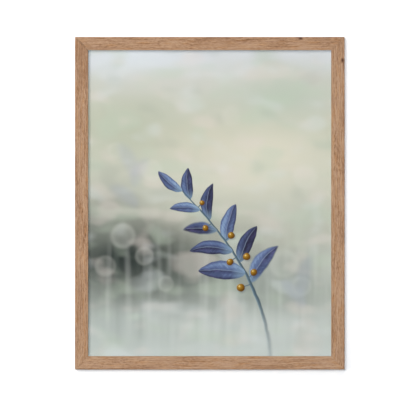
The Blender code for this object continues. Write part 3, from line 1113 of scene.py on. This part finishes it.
    def stem(self):
        """The stem's cover and colour; it is lost in the haze towards the lower edge."""
        add = self.add
        x, z, _ = add.split(self.drawn)
        share = add.parts(z, STEM_BASE.y, STEM_RISE)
        lean = add.product(share, STEM_LEAN[0])
        arch = add.product(share, share, STEM_LEAN[1])
        line = add.sum(STEM_BASE.x, lean, arch)
        slope = add.sum(STEM_LEAN[0] / STEM_RISE, add.product(share, 2 * STEM_LEAN[1] / STEM_RISE))
        off = add.math("DIVIDE", add.minus(x, line), add.hypot(1.0, slope))
        half = add.between(*STEM_HALF_WIDTHS, share)
        blur = add.between(0.5, 5.5, add.smooth(share, 0.4, 0.0))
        edge = add.math("DIVIDE", add.minus(half, add.math("ABSOLUTE", off)), blur)
        haze = add.between(0.35, 1.0, add.smooth(share, 0.0, 0.42))
        cover = add.product(add.smooth(edge, -0.6, 0.8), add.smooth(share, 1.02, 0.99), haze)
        tone = add.sum(0.55, add.product(add.math("DIVIDE", off, half), -0.34))
        return cover, add.ramp(tone, STEM_TONES, ink)

    def berry_stalk(self, foot, direction, length):
        add = self.add
        far = self.along(direction, foot)
        off = add.math("ABSOLUTE", self.along((-direction.y, direction.x), foot))
        return add.product(
            add.smooth(off, 1.1, 0.45), add.smooth(far, -0.4, 0.4), add.smooth(far, length, length - 1),
        )

    def fruit(self, form):
        """Amber skins lit from the upper left, with a small bright spot."""
        add = self.add
        off_light = add.vector("ADD", form, (0.34, -0.38, 0.0))
        dim = add.vector("DOT_PRODUCT", off_light, off_light)
        skin_noise = add.noise(add.join(self.x, 0.0, self.z), 1.6)
        level = add.sum(
            0.86,
            add.product(dim, -0.33),
            add.product(add.smooth(dim, 0.1, 0.0), 0.2),
            add.swing(skin_noise, 0.18),
        )
        return add.ramp(level, BERRY_TONES, ink)

    def berries(self, colour):
        """Round berries on short stalks, each with a soft shadow at its lower right."""
        add = self.add
        form = (0.0, 0.0, 0.0)
        cover = 0.0
        shadow = 0.0
        stalks = 0.0
        for share, turn, reach, radius in BERRIES:
            angle = stem_angle(share) + math.radians(turn)
            direction = Vector((math.cos(angle), math.sin(angle)))
            foot = stem_point(share)
            stalks = add.math("MAXIMUM", stalks, self.berry_stalk(foot, direction, reach))
            place = self.centred(self.drawn, foot + direction * reach, (radius, radius))
            mask = add.smooth(add.vector("LENGTH", place), 1.0 + 0.3 / radius, 1.0 - 0.5 / radius)
            fallen = add.vector("LENGTH", add.vector("ADD", place, (-0.22, 0.26, 0.0)))
            shadow = add.math("MAXIMUM", shadow, add.smooth(fallen, 1.42, 0.7))
            form = add.mix_vectors(mask, form, place)
            cover = add.math("MAXIMUM", cover, mask)
        return add.paint(
            colour,
            (stalks, ink(88, 106, 118)),
            (add.product(shadow, 0.34), ink(58, 62, 92)),
            (cover, self.fruit(form)),
        )

    def picture(self):
        """The ground, the leaves behind the stem, the stem, the leaves before it, the berries."""
        add = self.add
        rows = leaf_rows()
        behind = 0.0
        form = (0.0, 0.0, 0.0)
        for row in rows[:-1:2]:
            behind, form = self.lay_leaf(behind, form, row)
        front = 0.0
        for row in rows[1::2] + rows[-1:]:
            front, form = self.lay_leaf(front, form, row)
        stem_cover, stem_colour = self.stem()
        colour = self.far_leaves(self.discs(self.stalks(self.ground())))
        colour = add.mix(add.math("MAXIMUM", behind, front), colour, self.leaf_colour(form))
        colour = add.mix(add.product(stem_cover, add.minus(1.0, front)), colour, stem_colour)
        return self.berries(colour)


def print_material():
    """The picture on paper with a faint tooth."""
    add = new_material("printed_paper")
    picture = Print(add).picture()
    tooth = add.noise(add.object_mm(), 0.35)
    mottle = add.between(0.99, 1.01, tooth)
    return add.finish({
        "Base Color": add.mix(1.0, picture, add.join(mottle, mottle, mottle), "MULTIPLY"),
        "Roughness": 0.38,
        "Specular IOR Level": 0.35,
        "Normal": add.bump(tooth, 0.02 * MM, 0.12),
    })


# The glazing, the board and the small parts

BOARD_TONES = ((0.0, (104, 78, 56)), (0.5, (146, 116, 87)), (1.0, (180, 152, 120)))
RUBBER_TONES = ((0.3, (128, 128, 126)), (0.7, (148, 148, 145)))
METALS = {
    # dark and light tones, roughness, length, width and depth of the rolling marks
    "spring_steel": (((0.25, (132, 130, 126)), (0.75, (186, 186, 182))), 0.34, (3, 0.4, 0.4)),
    "zinc_plate": (((0.25, (184, 183, 178)), (0.75, (210, 210, 207))), 0.26, (6, 0.3, 0.3)),
}


def glass_material():
    """Clear float glass: it lets light straight through and mirrors more towards grazing."""
    add = new_material("clear_float_glass")
    add.tree.nodes.remove(add.tree.nodes["Principled BSDF"])
    clear = add.node("BsdfTransparent", {"Color": (0.990, 0.996, 0.993, 1.0)})
    gloss = add.node("BsdfGlossy", {"Roughness": 0.03})
    fresnel = add.node("Fresnel", {"IOR": 1.52})
    outside = add.minus(1.0, add.node("NewGeometry").outputs["Backfacing"])
    return add.mix_shaders(add.product(fresnel.outputs[0], outside), clear, gloss)


def board_material():
    """Fibreboard: pressed fibres that cross, slow clouds and dark flecks."""
    add = new_material("fibreboard")
    place = add.object_mm()
    fibres = add.noise(place, (1.6, 1.6, 0.5), detail=3.0, roughness=0.65)
    crossed = add.noise(place, (0.45, 1.6, 1.8), detail=3.0, roughness=0.65)
    cloud = add.noise(place, 38, detail=3.0)
    flecks = add.smooth(add.noise(place, 1.1), 0.62, 0.74)
    tone = add.sum(0.5, add.swing(fibres, 0.6), add.swing(crossed, 0.6), add.swing(cloud, 0.22))
    colour = add.ramp(tone, BOARD_TONES, srgb)
    return add.finish({
        "Base Color": add.mix(add.product(flecks, 0.35), colour, srgb(96, 68, 46)),
        "Roughness": 0.82,
        "Specular IOR Level": 0.25,
        "Normal": add.bump(add.sum(fibres, crossed), 0.12 * MM, 0.7),
    })


def metal_material(name):
    """Plated or bare steel: rolling marks along X and a cloudy surface."""
    tones, roughness, marks_size = METALS[name]
    add = new_material(name)
    place = add.object_mm()
    marks = add.noise(place, marks_size, detail=3.0, roughness=0.6)
    cloud = add.noise(place, 4)
    tone = add.sum(add.product(marks, 0.5), add.product(cloud, 0.5))
    return add.finish({
        "Base Color": add.ramp(tone, tones, srgb),
        "Metallic": 1.0,
        "Roughness": add.sum(roughness, add.swing(marks, 0.25)),
        "Normal": add.bump(marks, 0.02 * MM, 0.5),
    })


def rubber_material():
    """Grey rubber with fine specks and a little dust."""
    add = new_material("grey_rubber")
    place = add.object_mm()
    speck = add.noise(place, 0.5, detail=3.0)
    dust = add.noise(place, 3)
    tone = add.sum(add.product(speck, 0.4), add.product(dust, 0.6))
    return add.finish({
        "Base Color": add.ramp(tone, RUBBER_TONES, srgb),
        "Roughness": 0.55,
        "Normal": add.bump(speck, 0.04 * MM, 0.5),
    })


def dress(node, material):
    """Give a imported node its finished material."""
    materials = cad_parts[node].data.materials
    materials.clear()
    materials.append(material)


def dress_nodes():
    dress("glazing", glass_material())
    dress("print", print_material())
    dress("backing_board", board_material())
    spring = metal_material("spring_steel")
    zinc = metal_material("zinc_plate")
    rubber = rubber_material()
    small_parts = {"flexible_point": spring, "v_nail": spring, "hanger": zinc, "bumper": rubber}
    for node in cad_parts:
        for kind, material in small_parts.items():
            if node.startswith(kind):
                dress(node, material)


add_camera()
add_stage()
add_lamps()
add_room()
set_colour_view()
add_rails()
dress_nodes()
